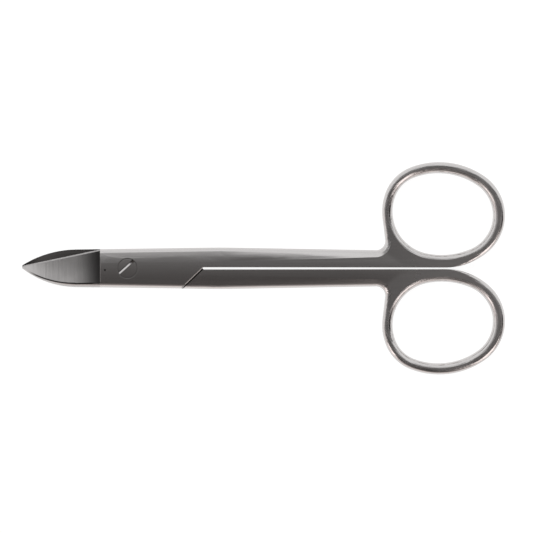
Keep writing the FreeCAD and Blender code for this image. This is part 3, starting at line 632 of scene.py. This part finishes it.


# %% [markdown]
# ## Tones of the ground faces
#
# Bare steel keeps one colour, and most of the tones here are painted shade, with one painted highlight.
# The hollow face is a little darker all over. Painted shade darkens the end of the hollow, where the wheel
# ran out against the shoulder, and a thin line along the edge of the land. The inside of a blade is painted
# darker than its outside, as shade from the other blade, and painted shade lies in the corner at the foot of
# the lap's wall, on the lap's broken edge and in the gap round the screw. The honed strip gets a painted
# highlight.

# %% Tones
STEEL = (0.62, 0.6, 0.592)
INSIDE_SHADE_TONE, HOLLOW_TONE, RUN_OUT_SHADE_TONE, LAND_SHADE_TONE = 0.54, 0.84, 0.13, 0.1
CORNER_SHADE_TONE, LAP_EDGE_SHADE_TONE, GAP_SHADE_TONE, HONED_HIGHLIGHT_TONE = 0.04, 0.32, 0.2, 1.4
LAND, TIP_LAND = 0.87 * MM, 0.15 * MM
LAND_SHADE_LINE = (0.03 * MM, 0.12 * MM, 0.08 * MM)
LINE_ROOT = (SHOULDER_X - 0.6 * MM, SHOULDER_X - 2.0 * MM)
LINE_TIP = (TIP_X + 0.8 * MM, TIP_X + 3.5 * MM)
PAST_LAND = (LAND - 0.3 * MM, LAND + 0.1 * MM)
RUN_OUT = (SHOULDER_X - 6.6 * MM, SHOULDER_X + 0.3 * MM)
INNER_FACE = (-0.5, -0.7)
CORNER_SHADE_FADE, CORNER_SHADE_START = 0.05 * MM, (-0.3 * MM, 0.0)


def dimmed(tree, tone, share, level):
    """The tone multiplied by level where share is 1."""
    return calc(tree, "MULTIPLY", tone, blend_values(tree, share, 1.0, level))


def face_tone(tree, zone, tip_y, hole_radius):
    """Brightness of the steel as a share of plain steel, with painted shade and a painted highlight.

    The land narrows from the joint to the tip with the square of the way along the blade.
    """
    x, across, along = zone["x"], zone["across"], zone["along"]
    # Painted shade on the inside of each blade, where the other blade shades it.
    tone = dimmed(tree, 1.0, zone["inside"], INSIDE_SHADE_TONE)
    tone = dimmed(tree, tone, zone["hollow"], HOLLOW_TONE)

    depth = back_depth(tree, zone, tip_y)
    land = calc(tree, "SUBTRACT", LAND, product(tree, along, along, LAND - TIP_LAND))
    # Painted shade: a thin dark line along the edge of the land.
    land_shade_line = product(tree, band(tree, calc(tree, "SUBTRACT", depth, land), *LAND_SHADE_LINE), zone["hollow"],
                        step_up(tree, x, *LINE_ROOT), step_up(tree, x, *LINE_TIP))
    tone = dimmed(tree, tone, land_shade_line, LAND_SHADE_TONE)
    # Painted shade: the hollow darkens where the wheel ran out against the shoulder.
    run_out_shade = product(tree, zone["hollow"], step_up(tree, x, *RUN_OUT), step_up(tree, depth, *PAST_LAND),
                      other(tree, zone["honed"]))
    tone = dimmed(tree, tone, run_out_shade, RUN_OUT_SHADE_TONE)
    # Painted highlight: the honed strip is made brighter than plain steel.
    tone = dimmed(tree, tone, zone["honed"], HONED_HIGHLIGHT_TONE)

    # Painted shade: a dark band in the corner at the foot of the lap's wall, along the gap.
    partner = past_lap(tree, x, calc(tree, "MULTIPLY", across, -1.0))
    corner_shade = product(tree, band(tree, partner, -LAP_GAP, LAP_GAP, CORNER_SHADE_FADE),
                   step_up(tree, zone["facing"], *INNER_FACE), step_up(tree, across, *CORNER_SHADE_START))
    tone = dimmed(tree, tone, corner_shade, CORNER_SHADE_TONE)
    # Painted shade on the lap's broken edge beside the gap.
    tone = dimmed(tree, tone, zone["lap_edge"], LAP_EDGE_SHADE_TONE)
    # Painted shade in the gap round the screw.
    return dimmed(tree, tone, band(tree, zone["reach"], hole_radius, SCREW_GAP, SCREW_GAP), GAP_SHADE_TONE)


def steel_colour(tree, tone):
    """The steel's colour at a tone."""
    return blend_colours(tree, tone, (0.0, 0.0, 0.0), STEEL)


print("land %.2f mm wide at the joint and %.2f mm at the tip" % (LAND / MM, TIP_LAND / MM))


# %% [markdown]
# ## How rough each face is
#
# Every face has the roughness of its last polish: the inside of a blade and the sides of a ring are the
# smoothest, and the steel grows rougher towards the rings, where it is polished by hand. The marks change
# the roughness a little too, so that a highlight breaks up where it crosses them.

# %% Roughness
BELT_ROUGHNESS, HOLLOW_ROUGHNESS, INSIDE_ROUGHNESS = 0.21, 0.3, 0.13
HAND_ROUGHNESS, RING_SIDE_ROUGHNESS = 0.3, 0.13
HAND_POLISH = (46.0 * MM, 72.0 * MM)
RING_SIDE = (0.98, 0.9)
ROUGH_PER_METRE, ROUGH_PER_MARK = 1500.0, 0.4


def face_roughness(tree, zone, height, rounds):
    """Roughness of each face, with a little added or taken off by the marks."""
    rough = blend_values(tree, zone["hollow"], BELT_ROUGHNESS, HOLLOW_ROUGHNESS)
    rough = blend_values(tree, zone["inside"], rough, INSIDE_ROUGHNESS)
    rough = blend_values(tree, step_up(tree, zone["x"], *HAND_POLISH), rough, HAND_ROUGHNESS)
    leaning = step_up(tree, calc(tree, "ABSOLUTE", zone["lean"][2]), *RING_SIDE)
    rough = blend_values(tree, product(tree, zone["ring"], leaning), rough, RING_SIDE_ROUGHNESS)
    rough = calc(tree, "MULTIPLY_ADD", product(tree, rounds, zone["crest"]), ROUGH_PER_MARK, rough)
    return calc(tree, "MULTIPLY_ADD", height, ROUGH_PER_METRE, rough)


print("roughness from %.2f to %.2f" % (INSIDE_ROUGHNESS, HOLLOW_ROUGHNESS))


# %% [markdown]
# ## Satin steel
#
# The steps above now meet in one material for each half. The rear half is turned over, its hole is the one
# for the thread, and its bevels are plainer. The front half also has one small pit beside the screw.

# %% Steel of the halves
PIT, PIT_RADIUS, PIT_TONE = (-4.9 * MM, -0.37 * MM), 0.27 * MM, 0.1
TIP_Y, TIP_SET = 0.25 * MM, 0.3 * MM
THREAD_RADIUS = 1.0 * MM
FRONT_BEVEL, REAR_BEVEL = 1.4, 0.2


def new_metal(name):
    """A bare metal with its node tree and shader."""
    metal = bpy.data.materials.new(name)
    metal.use_nodes = True
    shader = metal.node_tree.nodes["Principled BSDF"]
    shader.inputs["Metallic"].default_value = 1.0
    return metal, metal.node_tree, shader


def bumped(tree, shader, height, normal):
    """Sets the shader's normal: the given one, bumped by a height in metres."""
    bump = add_node(tree, "Bump")
    bump.inputs["Distance"].default_value = 1.0
    tree.links.new(height, bump.inputs["Height"])
    tree.links.new(normal, bump.inputs["Normal"])
    tree.links.new(bump.outputs["Normal"], shader.inputs["Normal"])


def pit_share(tree, zone):
    """1 in the small pit beside the screw."""
    off = length(tree, *[calc(tree, "SUBTRACT", zone[axis], place) for axis, place in zip("xy", PIT)])
    return product(tree, step_up(tree, off, PIT_RADIUS, PIT_RADIUS / 2), zone["flat"])


def half_steel(name, side, tip_y, hole_radius, bevel_gain):
    """Finish of one half; side is 1 for the front half and -1 for the rear one, which lies turned over."""
    steel, tree, shader = new_metal(name)
    zone = zones(tree, side)
    add_edges(tree, zone, tip_y, hole_radius)
    height, rounds = marks(tree, zone)
    tone = face_tone(tree, zone, tip_y, hole_radius)
    if side > 0:
        tone = dimmed(tree, tone, pit_share(tree, zone), PIT_TONE)
    tree.links.new(steel_colour(tree, tone), shader.inputs["Base Color"])
    tree.links.new(face_roughness(tree, zone, height, rounds), shader.inputs["Roughness"])
    bumped(tree, shader, height, leaning_normal(tree, zone, side, bevel_gain))
    return steel


def dress(node, material):
    """Gives a node of the frame its finish."""
    slots = frame["nodes"][node].data.materials
    slots.clear()
    slots.append(material)
    print("%-12s %s, %d nodes in its tree" % (node, material.name, len(material.node_tree.nodes)))


dress("front_half", half_steel("front_steel", 1.0, TIP_Y + TIP_SET, HEAD_RADIUS + SCREW_GAP, FRONT_BEVEL))
dress("rear_half", half_steel("rear_steel", -1.0, TIP_Y - TIP_SET, THREAD_RADIUS, REAR_BEVEL))


# %% [markdown]
# ## The screw
#
# The head is turned and polished flush with the joint, so only its slot and a hair of a gap show it, and the
# gap gets painted shade. The slot is cut with a saw: the middle of its floor is raw and a little rougher,
# with a painted highlight, and painted shade from its walls lies over the rest. The face keeps fine rings
# from the turning tool, and its rim rolls over a little.

# %% Steel of the screw
SLOT_ANGLE = math.radians(41.9)
SLOT_OFFSET, SLOT_HALF, SLOT_FADE = 0.37 * MM, 0.315 * MM, 0.04 * MM
SLOT_TOP = (FACE_HEIGHT - 0.05 * MM, FACE_HEIGHT - 0.12 * MM)
SLOT_BOTTOM = (FACE_HEIGHT - 0.9 * MM, FACE_HEIGHT - 0.8 * MM)
HEAD_SIDE = (FACE_HEIGHT - 0.3 * MM, FACE_HEIGHT - 0.1 * MM)
NEAR_SHADE, FAR_SHADE, SHADE_FADE = 0.1, 0.5, 0.05 * MM
RAW_HIGHLIGHT_TONE, RAW_HALF, RAW_FADE, RAW_LEAN = 1.6, 0.17 * MM, 0.04 * MM, 0.56
HEAD_FACE, HEAD_RIM_LEAN = (0.99, 0.995), 0.08
TURNED_ROUGHNESS, RAW_ROUGHNESS = 0.2, 0.26
TURNING_CELLS, TURNING_HEIGHT, TURNING_DETAIL = 6000.0, 1.0e-6, 1.0


def slot_shares(tree, x, y, z):
    """Distance over the slot's middle, and shares of the slot and of its floor's rough, painted-lit middle.
    """
    sine, cosine = math.sin(SLOT_ANGLE), math.cos(SLOT_ANGLE)
    over = summed(tree, product(tree, x, -sine), product(tree, y, cosine), -SLOT_OFFSET)
    in_slot = product(tree, step_up(tree, z, *SLOT_TOP),
                      step_up(tree, calc(tree, "ABSOLUTE", over), SLOT_HALF + SLOT_FADE, SLOT_HALF),
                      step_up(tree, z, *SLOT_BOTTOM))
    return over, in_slot, product(tree, in_slot, band(tree, over, 0.0, RAW_HALF, RAW_FADE))


def screw_steel(name):
    """Finish of the screw: turned steel, painted shade in the gap round its head, and a sawn slot."""
    steel, tree, shader = new_metal(name)
    coordinates = add_node(tree, "TexCoord")
    x, y, z = split(tree, coordinates.outputs["Object"])
    lean_x, lean_y, lean_z = split(tree, coordinates.outputs["Normal"])
    reach = length(tree, x, y)
    over, in_slot, raw_and_lit = slot_shares(tree, x, y, z)

    # Painted shade from the slot's walls over its floor, and a painted highlight on the floor's middle.
    shade = blend_values(tree, step_up(tree, over, -SHADE_FADE, SHADE_FADE), FAR_SHADE, NEAR_SHADE)
    tone = dimmed(tree, 1.0, calc(tree, "SUBTRACT", in_slot, raw_and_lit), shade)
    tone = dimmed(tree, tone, raw_and_lit, RAW_HIGHLIGHT_TONE)
    # Painted shade in the gap round the head's rim.
    head_gap_shade = product(tree, step_up(tree, z, *HEAD_SIDE),
                        step_up(tree, reach, HEAD_RADIUS - 2 * SCREW_GAP, HEAD_RADIUS))
    tone = dimmed(tree, tone, head_gap_shade, GAP_SHADE_TONE)
    tree.links.new(steel_colour(tree, tone), shader.inputs["Base Color"])
    tree.links.new(blend_values(tree, raw_and_lit, TURNED_ROUGHNESS, RAW_ROUGHNESS), shader.inputs["Roughness"])

    face = step_up(tree, calc(tree, "ABSOLUTE", lean_z), *HEAD_FACE)
    rim = product(tree, face, step_up(tree, reach, HEAD_RADIUS - EDGE_WIDTH, HEAD_RADIUS - EDGE_WIDTH / 2),
                  HEAD_RIM_LEAN)
    leant_x = summed(tree, lean_x,
                     product(tree, calc(tree, "DIVIDE", x, reach), rim),
                     calc(tree, "MULTIPLY", raw_and_lit, RAW_LEAN * math.cos(SLOT_ANGLE)))
    leant_y = summed(tree, lean_y,
                     product(tree, calc(tree, "DIVIDE", y, reach), rim),
                     product(tree, y, CROWN, face),
                     calc(tree, "MULTIPLY", raw_and_lit, RAW_LEAN * math.sin(SLOT_ANGLE)))
    turning = noise(tree, vector_of(tree, product(tree, reach, TURNING_CELLS), 0.0, 0.0), TURNING_DETAIL)
    normal = world_normal(tree, vector_of(tree, leant_x, leant_y, lean_z))
    bumped(tree, shader, product(tree, turning, TURNING_HEIGHT), normal)
    return steel


dress("pivot_screw", screw_steel("turned_steel"))
